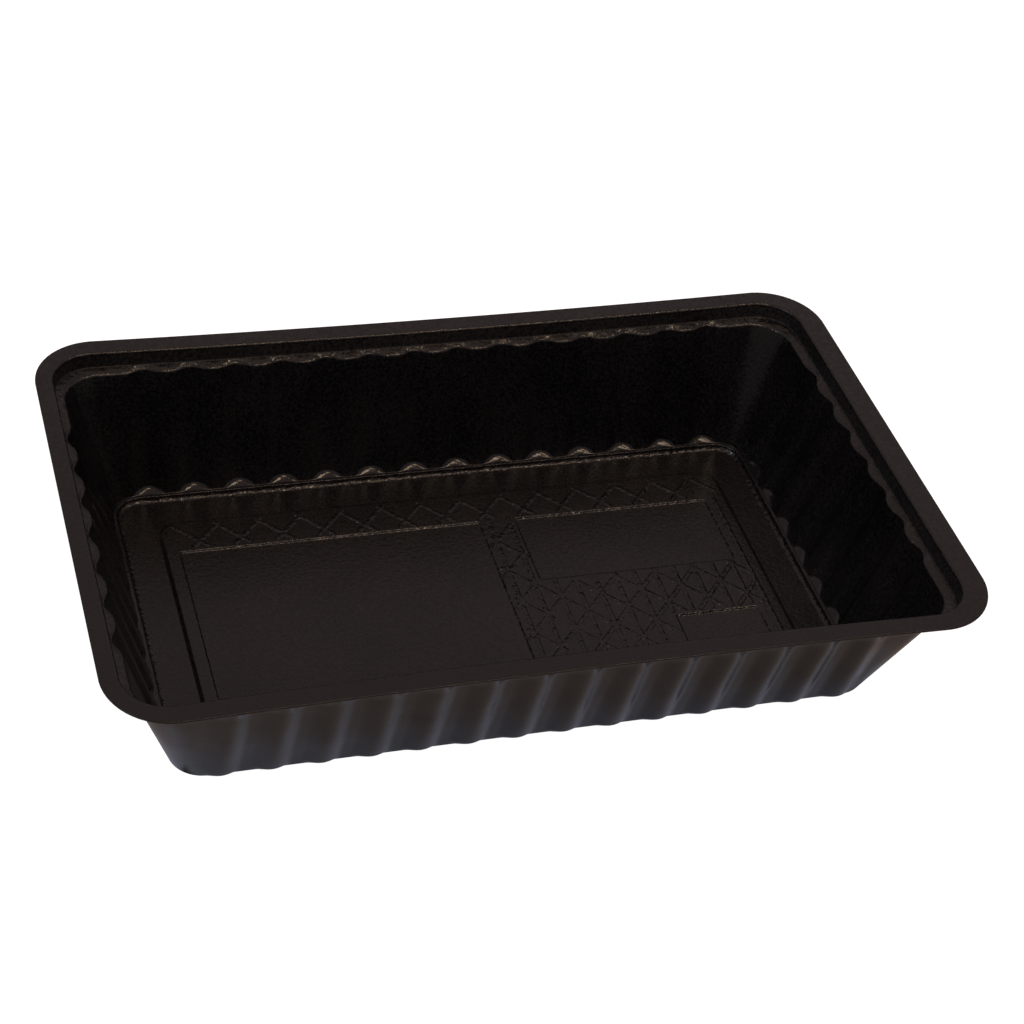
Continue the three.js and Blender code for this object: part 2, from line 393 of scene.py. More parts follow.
@dataclass(frozen=True)
class RingPlan:
    """Where the points of every ring lie: along the flutes of a side, then round a corner."""

    flutes: FluteForm
    flute_steps: int = 16
    corner_steps: int = 16

    def rows(self) -> list[int]:
        """Flutes on the near, right, far and left side."""
        return [self.flutes.long_count, self.flutes.short_count] * 2

    def points(self, half_x: float, half_y: float, radius: float) -> tuple[np.ndarray, ...]:
        """Points of a rounded rectangle, anticlockwise from the near left corner.

        Args:
            half_x: Half the length of the rectangle.
            half_y: Half its width.
            radius: Corner radius.

        Returns:
            Points (n, 2), outward directions of their side (n, 2), and flute phases (n).
        """
        points, outward, phase = [], [], []
        rows = self.rows()
        for index in range(4):
            along, out = (half_x, half_y) if index % 2 == 0 else (half_y, half_x)
            count, following = rows[index], rows[(index + 1) % 4]
            turn = self._quarter_turn(index)
            share = np.linspace(0.0, 1.0, count * self.flute_steps + 1)
            x = (2 * share - 1) * self._half_row(count, along, radius)
            over = np.maximum(np.abs(x) - (along - radius), 0.0)
            side = np.stack([x, radius - out - np.sqrt(radius ** 2 - over ** 2)], axis=1)
            first = self._arc_trim(count, along, radius)
            last = math.pi / 2 - self._arc_trim(following, out, radius)
            share_c = (np.arange(self.corner_steps) + 0.5) / self.corner_steps
            angle = first + (last - first) * share_c
            corner = np.stack([along - radius + radius * np.sin(angle),
                               radius - out - radius * np.cos(angle)], axis=1)
            points += [side @ turn, corner @ turn]
            direction = np.array([[0.0, -1.0]]) @ turn
            outward.append(np.repeat(direction, len(share) + self.corner_steps, axis=0))
            phase += [share * count, np.zeros(self.corner_steps)]
        return np.concatenate(points), np.concatenate(outward), np.concatenate(phase)

    @staticmethod
    def _quarter_turn(index: int) -> np.ndarray:
        """Matrix that turns row vectors by a number of quarter turns."""
        c, s = [(1, 0), (0, 1), (-1, 0), (0, -1)][index]
        return np.array([[c, s], [-s, c]], float)

    def _half_row(self, count: int, along: float, radius: float) -> float:
        """Half the length of a flute row, cut short on rings smaller than the row."""
        return min(count * self.flutes.pitch / 2, along - radius / 2)

    def _arc_trim(self, count: int, along: float, radius: float) -> float:
        """Angle at which a corner arc meets the end of the flute row."""
        reach = self._half_row(count, along, radius) - (along - radius)
        return math.asin(reach / radius) if reach > 0 else 0.0


# ------------------------------------------------------------------------------------------
# Sunk fields of the raised panel
# ------------------------------------------------------------------------------------------


@dataclass(frozen=True)
class Field:
    """A plain sunk rectangle in the top of the raised panel, in millimetres."""

    x0: float
    x1: float
    y0: float
    y1: float
    depth: float = 0.4
    side: float = 0.5
    corner: float = 0.8
    tightest: float = 0.25
    corner_steps: int = 5
    shares: tuple[float, ...] = (-0.3, 0.0, 0.2, 0.4, 0.6, 0.8, 1.0, 1.3)

    def loops(self, grow: float = 0.0) -> list[tuple[float, np.ndarray]]:
        """Nested outlines across the field's sloping side.

        Args:
            grow: How far the outlines are moved outwards, for the lower face of the sheet.

        Returns:
            Pairs of drop below the panel and outline (n, 2), from outside to inside.
        """
        result = []
        for share in self.shares:
            t = min(max(share, 0.0), 1.0)
            drop = self.depth * t * t * (3 - 2 * t)
            result.append((drop, self._outline(share * self.side - grow)))
        return result

    def _outline(self, inward: float) -> np.ndarray:
        """A rounded rectangle, moved in from the field's edge."""
        r = max(self.corner - inward, self.tightest)
        x0, x1, y0, y1 = self.x0 + inward, self.x1 - inward, self.y0 + inward, self.y1 - inward
        centres = ((x1 - r, y1 - r), (x0 + r, y1 - r), (x0 + r, y0 + r), (x1 - r, y0 + r))
        points = []
        for quarter, (cx, cy) in enumerate(centres):
            for a in arc(self.corner_steps):
                turned = a + quarter * math.pi / 2
                points.append((cx + r * math.cos(turned), cy + r * math.sin(turned)))
        return np.array(points)


# ------------------------------------------------------------------------------------------
# Node helpers
# ------------------------------------------------------------------------------------------


class Nodes:
    """Adds nodes to a node tree, one at a time."""

    def __init__(self, tree: bpy.types.NodeTree) -> None:
        """Takes the tree that the nodes go into."""
        self.tree = tree

    def feed(self, node: bpy.types.Node, inputs: dict) -> None:
        """Sets inputs of a node.

        Args:
            node: The node.
            inputs: Socket name or index to a value, or to the output socket that feeds it.
        """
        for key, value in inputs.items():
            if isinstance(value, Socket):
                self.tree.links.new(value, node.inputs[key])
            else:
                node.inputs[key].default_value = value

    def node(self, kind: str, inputs: dict | None = None, **settings: object) -> bpy.types.Node:
        """Adds a node.

        Args:
            kind: The node's type.
            inputs: What goes into it, as in feed.
            settings: Properties of the node.

        Returns:
            The new node.
        """
        node = self.tree.nodes.new(kind)
        for key, value in settings.items():
            setattr(node, key, value)
        self.feed(node, inputs or {})
        return node

    def math(self, operation: str, *values: object) -> Socket:
        """Adds a Math node and returns its output."""
        return self.node("ShaderNodeMath", dict(enumerate(values)), operation=operation).outputs[0]

    def spread(self, value: Socket, ends: dict) -> Socket:
        """Adds a Map Range node and returns its output."""
        return self.node("ShaderNodeMapRange", {"Value": value, **ends}).outputs[0]

    def mix(self, factor: Socket, first: object, second: object) -> Socket:
        """Mixes two colours and returns the result."""
        inputs = {"Factor": factor, "A": first, "B": second}
        return self.node("ShaderNodeMix", inputs, data_type="RGBA").outputs["Result"]

    def ramp(self, factor: Socket, stops: tuple[tuple[float, Colour], ...]) -> Socket:
        """Adds a colour ramp.

        Args:
            factor: What the ramp runs along.
            stops: Places from 0 to 1, in order, each with its colour.

        Returns:
            The ramp's colour.
        """
        node = self.node("ShaderNodeValToRGB", {"Fac": factor})
        while len(node.color_ramp.elements) < len(stops):
            node.color_ramp.elements.new(0.5)
        for element, (place, colour) in zip(node.color_ramp.elements, stops):
            element.position = place
            element.color = (*colour, 1.0)
        return node.outputs["Color"]


class GroupNodes(Nodes):
    """Adds nodes to a new node group with named inputs."""

    def __init__(self, name: str, kind: str) -> None:
        """Starts an empty group of a kind of node tree."""
        super().__init__(bpy.data.node_groups.new(name, kind))
        self.source = self.tree.nodes.new("NodeGroupInput")
        self.result = self.tree.nodes.new("NodeGroupOutput")

    def add_socket(self, name: str, direction: str, kind: str) -> object:
        """Adds a named input or output of a socket type to the group."""
        return self.tree.interface.new_socket(name, in_out=direction, socket_type=kind)

    def given(self, name: str) -> Socket:
        """What comes in through a named input."""
        return self.source.outputs[name]


class NodeTree(GroupNodes):
    """A Geometry Nodes tree."""

    def __init__(self, name: str, inputs: dict[str, str]) -> None:
        """Starts a tree that takes a geometry and gives one.

        Args:
            name: Name of the tree.
            inputs: Socket type of each other input.
        """
        super().__init__(name, "GeometryNodeTree")
        self.tree.is_modifier = True
        self.add_socket("Geometry", "INPUT", "NodeSocketGeometry")
        self.add_socket("Geometry", "OUTPUT", "NodeSocketGeometry")
        for key, kind in inputs.items():
            self.add_socket(key, "INPUT", kind)

    def named(self, name: str, kind: str) -> Socket:
        """Output that reads a named attribute."""
        return self.node("GeometryNodeInputNamedAttribute", {"Name": name}, data_type=kind).outputs[0]

    def finish(self, socket: Socket) -> "NodeTree":
        """Ends the tree with a socket as its result, and returns it."""
        self.tree.links.new(socket, self.result.inputs[0])
        return self

    def apply(self, obj: bpy.types.Object, values: dict) -> bpy.types.Object:
        """Runs the tree on an object and keeps the result as its plain mesh.

        Args:
            obj: The object whose mesh goes in. It is replaced by the result.
            values: Value of each named input.

        Returns:
            The same object, with no modifier.
        """
        modifier = obj.modifiers.new(self.tree.name, "NODES")
        modifier.node_group = self.tree
        for item in self.tree.interface.items_tree:
            if item.in_out == "INPUT" and item.name in values:
                modifier[item.identifier] = values[item.name]
        bpy.context.view_layer.update()
        evaluated = obj.evaluated_get(bpy.context.evaluated_depsgraph_get())
        mesh = bpy.data.meshes.new_from_object(evaluated)
        obj.modifiers.clear()
        old, obj.data = obj.data, mesh
        bpy.data.meshes.remove(old)
        mesh.name = obj.name
        return obj


def make_flute_tree() -> NodeTree:
    """The tree that presses the flutes into the plain walls of the sheet and dresses it.

    Returns:
        A tree with the inputs Depth At Ledge and Depth At Foot, in metres, Power At Ledge and
        Power At Foot, which shape the wave across a flute, Land, the share of the wave that is
        plain wall at the foot, and one material for each finish. It reads, at every vertex,
        how far along the row it lies in flutes, how strongly the flute shows at its height,
        how high it lies in the wall, and which way is outwards, and at every face the number
        of its finish.
    """
    numbers = ("Depth At Ledge", "Depth At Foot", "Power At Ledge", "Power At Foot", "Land")
    tree = NodeTree("press_flutes", {
        **{name: "NodeSocketFloat" for name in numbers},
        **{finish.name: "NodeSocketMaterial" for finish in Finish},
    })
    cosine = tree.math("COSINE", tree.math("MULTIPLY", tree.named("flute_phase", "FLOAT"), 2 * math.pi))
    wave = tree.math("MULTIPLY", tree.math("SUBTRACT", 1.0, cosine), 0.5)
    land = tree.given("Land")
    above = tree.math("MAXIMUM", tree.math("SUBTRACT", wave, land), 0.0)
    share = tree.math("DIVIDE", above, tree.math("SUBTRACT", 1.0, land))
    height = tree.named("flute_height", "FLOAT")
    lobe = tree.spread(height, {
        "To Min": tree.math("POWER", share, tree.given("Power At Foot")),
        "To Max": tree.math("POWER", tree.math("MAXIMUM", wave, 0.0), tree.given("Power At Ledge")),
    })
    depth = tree.spread(height, {
        "To Min": tree.given("Depth At Foot"), "To Max": tree.given("Depth At Ledge"),
    })
    amount = tree.math("MULTIPLY", tree.named("flute_amount", "FLOAT"), lobe)
    offset = tree.node("ShaderNodeVectorMath", {
        0: tree.named("flute_outward", "FLOAT_VECTOR"), "Scale": tree.math("MULTIPLY", amount, depth),
    }, operation="SCALE").outputs[0]
    moved = tree.node("GeometryNodeSetPosition", {"Geometry": tree.given("Geometry"), "Offset": offset})
    dressed = tree.node("GeometryNodeRealizeInstances", {"Geometry": moved.outputs[0]})
    for finish in Finish:
        chosen = tree.node("FunctionNodeCompare", {
            "A": tree.named("finish", "INT"), "B": finish.value,
        }, data_type="INT", operation="EQUAL")
        dressed = tree.node("GeometryNodeSetMaterial", {
            "Geometry": dressed.outputs[0], "Selection": chosen.outputs[0],
            "Material": tree.given(finish.name),
        })
    return tree.finish(dressed.outputs[0])


def make_ridge_tree() -> NodeTree:
    """The tree that turns straight edges into low rounded ridges.

    Returns:
        A tree with the inputs Ridge Width, Ridge Height, Ridge Sunk and Material, sizes in
        metres. Each edge of the incoming mesh becomes one closed oval ridge whose middle lies
        sunk below the edge.
    """
    tree = NodeTree("raise_ridges", {
        "Ridge Width": "NodeSocketFloat", "Ridge Height": "NodeSocketFloat",
        "Ridge Sunk": "NodeSocketFloat", "Material": "NodeSocketMaterial",
    })
    split = tree.node("GeometryNodeSplitEdges", {"Mesh": tree.given("Geometry")})
    lines = tree.node("GeometryNodeMeshToCurve", {"Mesh": split.outputs[0]})
    level = tree.node("GeometryNodeSetCurveNormal", {"Curve": lines.outputs[0]}, mode="Z_UP")
    circle = tree.node("GeometryNodeCurvePrimitiveCircle", {"Resolution": 12, "Radius": 1.0})
    scale = tree.node("ShaderNodeCombineXYZ", {
        "X": tree.math("MULTIPLY", tree.given("Ridge Width"), 0.5),
        "Y": tree.given("Ridge Height"), "Z": 1.0,
    })
    outline = tree.node("GeometryNodeTransform", {
        "Geometry": circle.outputs[0], "Scale": scale.outputs[0],
    })
    ridges = tree.node("GeometryNodeCurveToMesh", {
        "Curve": level.outputs[0], "Profile Curve": outline.outputs[0], "Fill Caps": True,
    })
    down = tree.node("ShaderNodeCombineXYZ", {
        "Z": tree.math("MULTIPLY", tree.given("Ridge Sunk"), -1.0),
    })
    sunk = tree.node("GeometryNodeTransform", {
        "Geometry": ridges.outputs[0], "Translation": down.outputs[0],
    })
    real = tree.node("GeometryNodeRealizeInstances", {"Geometry": sunk.outputs[0]})
    dressed = tree.node("GeometryNodeSetMaterial", {
        "Geometry": real.outputs[0], "Material": tree.given("Material"),
    })
    return tree.finish(dressed.outputs[0])


# ------------------------------------------------------------------------------------------
# The shell
# ------------------------------------------------------------------------------------------


@dataclass
class TrayShell:
    """The whole sheet as one closed shell: rim, ledge, fluted walls, floor and raised panel."""

    form: TrayForm
    flutes: FluteForm
    fields: list[Field]
    plan: RingPlan
    points: list[np.ndarray] = field(default_factory=list)
    outward: list[np.ndarray] = field(default_factory=list)
    phase: list[np.ndarray] = field(default_factory=list)
    amount: list[np.ndarray] = field(default_factory=list)
    faces: list[tuple[int, ...]] = field(default_factory=list)
    finishes: list[Finish] = field(default_factory=list)
    count: int = 0

    def build(self, materials: dict[Finish, bpy.types.Material]) -> bpy.types.Object:
        """Builds the shell as one object.

        Args:
            materials: The material of every finish.

        Returns:
            The object, with the flutes pressed in.
        """
        profile = Profile(self.form, self.flutes)
        food = [self._ring(s) for s in profile.food_side()]
        under = [self._ring(s) for s in profile.under_side()]
        for row, section in enumerate(profile.food_side()[1:]):
            self._stitch(food[row], food[row + 1], self._finish_of(section))
        for row in range(len(under) - 1):
            self._stitch(under[row + 1], under[row], Finish.UNDER)
        self._stitch(under[0], food[0], Finish.RIM)
        self._cap(food[-1], self.form.panel_z, Face.FOOD)
        self._cap(under[-1], self.form.panel_rise, Face.UNDER)
        return make_flute_tree().apply(self._to_object(), {
            "Depth At Ledge": self.flutes.depth_at_ledge * MM,
            "Depth At Foot": self.flutes.depth_at_foot * MM,
            "Power At Ledge": self.flutes.power_at_ledge,
            "Power At Foot": self.flutes.power_at_foot, "Land": self.flutes.land,
            **{finish.name: material for finish, material in materials.items()},
        })

    def _finish_of(self, section: Section) -> Finish:
        """The finish of the upper face just outside a section."""
        f = self.form
        if section.inset <= f.rim_width:
            return Finish.RIM
        if section.z > f.height - f.rim_round - SLACK_MM:
            return Finish.EDGE
        if section.z > f.ledge_z + SLACK_MM:
            return Finish.STEP
        if section.inset > f.floor_inset:
            in_fillet = section.inset < f.floor_inset + f.plinth_lean + f.floor_fillet + SLACK_MM
            return Finish.RIDGE if in_fillet else Finish.FLOOR
        return Finish.WALL if section.z < f.wall_top[1] - SLACK_MM else Finish.EDGE

    def _ring(self, section: Section) -> int:
        """Adds one ring of vertices and returns the number of its first one."""
        f = self.form
        half_x, half_y = f.length / 2 - section.inset, f.width / 2 - section.inset
        points, outward, phase = self.plan.points(half_x, half_y, section.radius)
        middle = np.maximum(1 - (points[:, 0] / half_x) ** 2, 0.0)
        x = points[:, 0] - (0.0 if section.on_cut_edge else f.trim_shift)
        y = points[:, 1] * (1 - section.bow / half_y * middle)
        ring = np.stack([x, y, np.full(len(x), section.z)], axis=1)
        return self._add(ring, outward, phase, section.flute)

    def _add(self, ring: np.ndarray, outward: np.ndarray | None = None,
             phase: np.ndarray | None = None, amount: float = 0.0) -> int:
        """Adds vertices with their flute attributes.

        Args:
            ring: Vertices (n, 3) in millimetres.
            outward: Outward directions (n, 2), or none where no flute reaches.
            phase: Places along the row, in flutes, or none.
            amount: How strongly the flutes show on these vertices.

        Returns:
            The number of the first vertex.
        """
        first, n = self.count, len(ring)
        self.points.append(ring)
        self.outward.append(np.zeros((n, 2)) if outward is None else outward)
        self.phase.append(np.zeros(n) if phase is None else phase)
        self.amount.append(np.full(n, amount))
        self.count += n
        return first

    def _ring_size(self) -> int:
        """Number of vertices in a ring."""
        return sum(n * self.plan.flute_steps + 1 + self.plan.corner_steps for n in self.plan.rows())

    def _stitch(self, outer: int, inner: int, finish: Finish) -> None:
        """Joins two rings by quads that face away from the sheet."""
        n = self._ring_size()
        for i in range(n):
            j = (i + 1) % n
            self.faces.append((outer + i, outer + j, inner + j, inner + i))
            self.finishes.append(finish)

    def _cap(self, ring: int, level: float, face: Face) -> None:
        """Closes the panel with a flat face and its sunk fields.

        Args:
            ring: First vertex of the ring round the panel's top.
            level: Height of the panel's top on this face of the sheet.
            face: Which face of the sheet is closed.
        """
        n = self._ring_size()
        coords = [Vector((x, y)) for x, y, _ in np.concatenate(self.points)[ring:ring + n]]
        numbers = list(range(ring, ring + n))
        edges = [(i, (i + 1) % n) for i in range(n)]
        grow = self.form.slope_offset if face is Face.UNDER else 0.0
        for sunk in self.fields:
            for drop, outline in sunk.loops(grow):
                start, m = len(coords), len(outline)
                heights = np.full((m, 1), level - drop)
                first = self._add(np.hstack([outline, heights]))
                coords += [Vector(p) for p in outline]
                numbers += list(range(first, first + m))
                edges += [(start + i, start + (i + 1) % m) for i in range(m)]
        made = geometry.delaunay_2d_cdt(coords, edges, [], 0, 1e-6)
        origin = [numbers[old[0]] for old in made[3]]
        levels = np.concatenate(self.points)[:, 2]
        for tri in made[2]:
            corners = [origin[i] for i in tri]
            self.faces.append(tuple(corners if face is Face.FOOD else reversed(corners)))
            upper = Finish.RIDGE if np.ptp(levels[corners]) > SLACK_MM else Finish.FLOOR
            self.finishes.append(upper if face is Face.FOOD else Finish.UNDER)

    def _to_object(self) -> bpy.types.Object:
        """Makes the Blender object with the attributes that the flute tree reads."""
        f = self.form
        points = np.concatenate(self.points)
        mesh = bpy.data.meshes.new("tray_shell")
        mesh.from_pydata((points * MM).tolist(), [], self.faces)
        height = np.clip((points[:, 2] - f.shelf_z) / (f.ledge_z - f.shelf_z), 0.0, 1.0)
        outward = np.concatenate(self.outward)
        self._store(mesh, "flute_phase", np.concatenate(self.phase))
        self._store(mesh, "flute_amount", np.concatenate(self.amount))
        self._store(mesh, "flute_height", height)
        vectors = mesh.attributes.new("flute_outward", "FLOAT_VECTOR", "POINT")
        flat = np.hstack([outward, np.zeros((len(outward), 1))]).astype(np.float32)
        vectors.data.foreach_set("vector", flat.ravel())
        numbers = mesh.attributes.new("finish", "INT", "FACE")
        numbers.data.foreach_set("value", [finish.value for finish in self.finishes])
        mesh.polygons.foreach_set("use_smooth", [True] * len(mesh.polygons))
        mesh.update()
        return link(bpy.data.objects.new("tray_shell", mesh))

    @staticmethod
    def _store(mesh: bpy.types.Mesh, name: str, values: np.ndarray) -> None:
        """Stores one number for each vertex."""
        attribute = mesh.attributes.new(name, "FLOAT", "POINT")
        attribute.data.foreach_set("value", values.astype(np.float32))


def link(obj: bpy.types.Object) -> bpy.types.Object:
    """Puts an object into the scene and returns it."""
    bpy.context.scene.collection.objects.link(obj)
    return obj


# ------------------------------------------------------------------------------------------
# Lattice ridges
# ------------------------------------------------------------------------------------------


@dataclass(frozen=True)
class Band:
    """A rectangle of the panel that the lattice covers, in millimetres."""

    x0: float
    x1: float
    y0: float
    y1: float
    shortest: float = 0.4
    parallel: float = 1e-9

    def clip(self, x: float, y: float, dx: float, dy: float) -> tuple[float, float] | None:
        """The stretch of a straight line inside the band.

        Args:
            x: A point on the line.
            y: The same.
            dx: The line's direction.
            dy: The same.

        Returns:
            First and last distance along the line in units of its direction, or None.
        """
        low, high = -math.inf, math.inf
        for place, step, least, most in ((x, dx, self.x0, self.x1), (y, dy, self.y0, self.y1)):
            if abs(step) < self.parallel:
                if not least <= place <= most:
                    return None
                continue
            a, b = (least - place) / step, (most - place) / step
            low, high = max(low, min(a, b)), min(high, max(a, b))
        return (low, high) if high - low > self.shortest else None


@dataclass
class Lattice:
    """Thin ridges crossing at 45 degrees over the frame of the raised panel."""

    level: float
    bands: list[Band]
    upright_bands: list[Band]
    lines: list[tuple[float, float, float, float]]
    node_x: float = 6.6
    node_y: float = 5.6
    cell_x: float = 8.95
    cell_y: float = 9.6
    reach: int = 14
    ridge_width: float = 1.3
    ridge_height: float = 0.24
    ridge_sunk: float = 0.12
    segments: list[tuple[Vector, Vector]] = field(default_factory=list)

    def build(self, material: bpy.types.Material) -> bpy.types.Object:
        """Builds all ridges as one object.

        Args:
            material: The finish of the ridges.

        Returns:
            The object.
        """
        for band in self.bands:
            for k in range(-self.reach, self.reach + 1):
                for slope in (1, -1):
                    self._ridge(band, self.node_x + k * self.cell_x, self.node_y,
                                self.cell_x, slope * self.cell_y)
        for band in self.upright_bands:
            for k in range(-2 * self.reach, 2 * self.reach + 1):
                self._ridge(band, self.node_x + k * self.cell_x / 2, self.node_y, 0.0, 1.0)
        for x0, y0, x1, y1 in self.lines:
            self.segments.append((Vector((x0, y0)), Vector((x1, y1))))
        points = [(p.x * MM, p.y * MM, self.level * MM) for ends in self.segments for p in ends]
        edges = [(2 * i, 2 * i + 1) for i in range(len(self.segments))]
        mesh = bpy.data.meshes.new("floor_lattice")
        mesh.from_pydata(points, edges, [])
        obj = link(bpy.data.objects.new("floor_lattice", mesh))
        make_ridge_tree().apply(obj, {
            "Ridge Width": self.ridge_width * MM, "Ridge Height": self.ridge_height * MM,
            "Ridge Sunk": self.ridge_sunk * MM, "Material": material,
        })
        obj.data.polygons.foreach_set("use_smooth", [True] * len(obj.data.polygons))
        return obj

    def _ridge(self, band: Band, x: float, y: float, dx: float, dy: float) -> None:
        """Adds the part of one lattice line that lies in a band."""
        stretch = band.clip(x, y, dx, dy)
        if stretch:
            ends = tuple(Vector((x + t * dx, y + t * dy)) for t in stretch)
            self.segments.append(ends)


# ------------------------------------------------------------------------------------------
# Finishes
# ------------------------------------------------------------------------------------------


class ShaderGroup(GroupNodes):
    """A shader node group with named numbers as inputs and one output."""

    def __init__(self, name: str, inputs: dict[str, float], output: str, kind: str) -> None:
        """Starts a group.

        Args:
            name: Name of the group.
            inputs: Default of each number that goes in.
            output: Name of the output.
            kind: Socket type of the output.
        """
        super().__init__(name, "ShaderNodeTree")
        for key, value in inputs.items():
            self.add_socket(key, "INPUT", "NodeSocketFloat").default_value = value
        self.add_socket(output, "OUTPUT", kind)
        self.place = self.node("ShaderNodeTexCoord").outputs["Object"]

    def noise(self, size: str, detail: float = 1.0) -> Socket:
        """Noise from 0 to 1 on the object's own coordinates.

        Args:
            size: Name of the input that gives the noise's size in metres.
            detail: How much finer noise is added to it.

        Returns:
            The noise.
        """
        scale = self.math("DIVIDE", 1.0, self.given(size))
        inputs = {"Vector": self.place, "Scale": scale, "Detail": detail}
        return self.node("ShaderNodeTexNoise", inputs).outputs["Fac"]

    def finish(self, socket: Socket) -> bpy.types.NodeTree:
        """Ends the group with a socket as its output, and returns its tree."""
        self.tree.links.new(socket, self.result.inputs[0])
        return self.tree


def make_peel_group() -> bpy.types.NodeTree:
    """Fine pebbled surface of the drawn sheet, over a faint longer waviness.

    Returns:
        A group with the inputs Pebble Size, Pebble Height, Wave Size and Wave Height, all in
        metres, and the output Normal.
    """
    group = ShaderGroup("drawn_sheet_surface", {
        "Pebble Size": 0.0008, "Pebble Height": 0.00001, "Wave Size": 0.02, "Wave Height": 0.00002,
    }, "Normal", "NodeSocketVector")
    pebbles = group.math("MULTIPLY", group.noise("Pebble Size", 2.0), group.given("Pebble Height"))
    waves = group.math("MULTIPLY", group.noise("Wave Size"), group.given("Wave Height"))
    return group.finish(group.node("ShaderNodeBump", {
        "Height": group.math("ADD", pebbles, waves), "Distance": 1.0, "Strength": 1.0,
    }).outputs[0])


def make_handling_group() -> bpy.types.NodeTree:
    """Uneven gloss of a handled sheet: broad dull patches, rub marks and dull pebbles.

    Returns:
        A group with the inputs Gloss Roughness, Dull Roughness, Patch Size and Rub, Grain Size
        in metres and Grain, how much duller a pebble is, and the output Roughness.
    """
    group = ShaderGroup("handled_gloss", {
        "Gloss Roughness": 0.2, "Dull Roughness": 0.3, "Patch Size": 0.03, "Rub": 0.05,
        "Grain Size": 0.0012, "Grain": 0.2,
    }, "Roughness", "NodeSocketFloat")
    pebble = group.spread(group.noise("Grain Size"), {
        "From Min": 0.42, "From Max": 0.58, "To Max": group.given("Grain"),
    })
    stretched = group.node("ShaderNodeMapping", {
        "Vector": group.place, "Rotation": (0.2, 0.1, 0.5), "Scale": (60.0, 900.0, 300.0),
    })
    marks = group.node("ShaderNodeTexNoise", {"Vector": stretched.outputs[0], "Scale": 1.0})
    thin = group.spread(marks.outputs["Fac"], {"From Min": 0.62, "From Max": 0.75})
    base = group.spread(group.noise("Patch Size", 3.0), {
        "From Min": 0.3, "From Max": 0.7,
        "To Min": group.given("Gloss Roughness"), "To Max": group.given("Dull Roughness"),
    })
    dull = group.math("ADD", group.math("MULTIPLY", thin, group.given("Rub")), pebble)
    return group.finish(group.math("ADD", base, dull))


def make_speckle_group() -> bpy.types.NodeTree:
    """Uneven black of the plastic: fine speckles within soft clouds.

    Returns:
        A group with the inputs Speckle Size and Cloud Size, in metres, and the output Share,
        from 0 to 1.
    """
    group = ShaderGroup("recycled_black", {
        "Speckle Size": 0.0006, "Cloud Size": 0.02,
    }, "Share", "NodeSocketFloat")
    clouds = group.math("MULTIPLY", group.math("SUBTRACT", group.noise("Cloud Size"), 0.5), 0.5)
    both = group.math("ADD", group.noise("Speckle Size"), clouds)
    return group.finish(group.spread(both, {"From Min": 0.3, "From Max": 0.75}))


@dataclass(frozen=True)
class SheetFinish:
    """One finish of the black sheet."""

    name: str
    dark: Colour
    light: Colour
    gloss: float
    dull: float
    grain_size: float
    grain: float
    pebble_size: float
    pebble_height: float
    rub: float = 0.0
    wave_size: float = 0.03
    wave_height: float = 0.00002
    specular: float = 0.5

    def build(self, peel: bpy.types.NodeTree, handling: bpy.types.NodeTree,
              speckle: bpy.types.NodeTree) -> bpy.types.Material:
        """Builds the material.

        Args:
            peel: The group that gives the surface's normal.
            handling: The group that gives its roughness.
            speckle: The group that spreads its two tones.

        Returns:
            The material.
        """
        material = bpy.data.materials.new(self.name)
        material.use_nodes = True
        add = Nodes(material.node_tree)
        shader = material.node_tree.nodes["Principled BSDF"]
        shader.inputs["IOR"].default_value = 1.5
        shader.inputs["Specular IOR Level"].default_value = self.specular
        surface = add.node("ShaderNodeGroup", {
            "Pebble Size": self.pebble_size, "Pebble Height": self.pebble_height,
            "Wave Size": self.wave_size, "Wave Height": self.wave_height,
        }, node_tree=peel)
        gloss = add.node("ShaderNodeGroup", {
            "Gloss Roughness": self.gloss, "Dull Roughness": self.dull, "Rub": self.rub,
            "Grain Size": self.grain_size, "Grain": self.grain,
        }, node_tree=handling)
        share = add.node("ShaderNodeGroup", node_tree=speckle).outputs["Share"]
        add.feed(shader, {
            "Normal": surface.outputs["Normal"], "Roughness": gloss.outputs["Roughness"],
            "Base Color": add.mix(share, (*self.dark, 1.0), (*self.light, 1.0)),
        })
        return material


